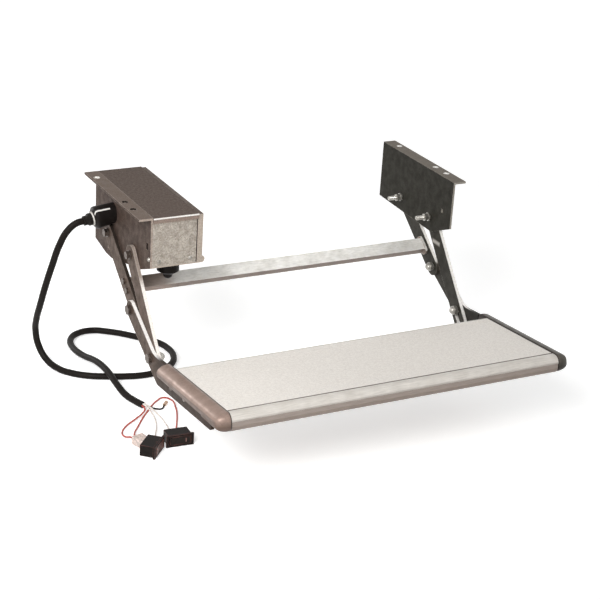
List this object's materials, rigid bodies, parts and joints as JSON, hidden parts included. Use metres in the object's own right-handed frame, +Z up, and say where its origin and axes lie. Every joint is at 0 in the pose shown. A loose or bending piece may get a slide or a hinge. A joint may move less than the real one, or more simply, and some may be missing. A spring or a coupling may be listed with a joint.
{
  "type": "pull-out step",
  "caption": "Electric pull-out step for a caravan door: tread on swinging side arms below two flanged brackets, with a motor housing, cable and rocker switches.",
  "frame": {"origin": "middle of the four outer mounting holes, on the upper face of the two bracket flanges", "axes": "+X to the right seen from the front, +Y to the back under the vehicle, +Z up"},
  "size_m": [0.6169, 0.5872, 0.3],
  "materials": {
    "bracket_paint": "satin",
    "dark_paint": "satin",
    "case_paint": "satin",
    "lid_paint": "satin",
    "zinc_sheet": "spangled zinc",
    "bright_bar": "satin zinc",
    "bolt_zinc": "zinc plated",
    "gear_steel": "machined",
    "gearbox_metal": "cast",
    "motor_paint": "satin",
    "tread_aluminium": "anodised",
    "grip_aluminium": "fine grain",
    "left_cap": "metallic brown grey",
    "right_cap": "metallic dark grey",
    "black_rubber": "matt",
    "cable_black": "satin",
    "red_cover": "satin",
    "white_cover": "satin",
    "terminal_metal": "satin",
    "clear_shell": "translucent",
    "switch_black": "satin",
    "rocker_black": "satin"
  },
  "bodies": {
    "frame": {"left_bracket": "bracket_paint", "right_bracket": "dark_paint", "housing_case": "case_paint", "housing_front": "zinc_sheet", "housing_lid": "lid_paint", "housing_screws": "bolt_zinc", "gearbox": "gearbox_metal", "motor": "motor_paint", "motor_clamp": "gearbox_metal", "pivot_bolts": "bolt_zinc", "pivot_nuts": "bolt_zinc", "stop_buffer": "black_rubber", "cable_boot": "black_rubber", "cable_gland": "black_rubber", "supply_cable": "cable_black", "red_link_wire": "red_cover", "red_wire": "red_cover", "white_wire": "white_cover", "white_link_wire": "white_cover", "spare_wire": "cable_black", "wire_terminal": "terminal_metal", "bracket_rivet": "bolt_zinc", "connector_shell": "clear_shell", "left_switch_body": "switch_black", "right_switch_body": "switch_black"},
    "rear_arms": {"left_rear_arm": "bracket_paint", "right_rear_arm": "dark_paint", "crossbar": "bright_bar", "crossbar_bolts": "bolt_zinc", "drive_gear": "gear_steel"},
    "front_arms": {"left_front_arm": "bracket_paint", "right_front_arm": "dark_paint"},
    "tread": {"left_side_plate": "bracket_paint", "right_side_plate": "dark_paint", "tread_board": "tread_aluminium", "grip_panel": "grip_aluminium", "left_end_cap": "left_cap", "right_end_cap": "right_cap", "side_screws": "bolt_zinc", "knee_bolts": "bolt_zinc", "knee_nuts": "bolt_zinc", "toe_bolts": "bolt_zinc", "toe_nuts": "bolt_zinc"},
    "pinion": {"drive_pinion": "gear_steel"},
    "left_rocker": {"left_switch_rocker": "rocker_black"},
    "right_rocker": {"right_switch_rocker": "rocker_black"}
  },
  "joints": [
    {"name": "step_swing", "type": "hinge", "parent": "frame", "child": "rear_arms", "pos_m": [0, 0.034, -0.072], "axis": [1, 0, 0], "range_deg": [0, 128]},
    {"name": "tread_level", "type": "hinge", "parent": "rear_arms", "child": "tread", "pos_m": [0, -0.069, -0.151], "axis": [1, 0, 0], "range_deg": [-128, 0]},
    {"name": "front_swing", "type": "hinge", "parent": "frame", "child": "front_arms", "pos_m": [0, -0.051, -0.075], "axis": [1, 0, 0], "range_deg": [0, 100.7]},
    {"name": "pinion_turn", "type": "hinge", "parent": "frame", "child": "pinion", "pos_m": [-0.235, 0.0115, -0.03303], "axis": [1, 0, 0], "range_deg": [-192, 0]},
    {"name": "left_rocker_tilt", "type": "hinge", "parent": "frame", "child": "left_rocker", "pos_m": [-0.27549, -0.22066, -0.291], "axis": [0, 0, 1], "range_deg": [-8, 8], "stiffness_Nm_per_rad": 0.05},
    {"name": "right_rocker_tilt", "type": "hinge", "parent": "frame", "child": "right_rocker", "pos_m": [-0.23686, -0.21, -0.291], "axis": [0, 0, 1], "range_deg": [-8, 8], "stiffness_Nm_per_rad": 0.05}
  ],
  "couplings": [
    {"joint": "tread_level", "follows": "step_swing", "ratio": -1},
    {"joint": "front_swing", "follows": "step_swing", "ratio": 0.7866},
    {"joint": "pinion_turn", "follows": "step_swing", "ratio": -1.5}
  ]
}
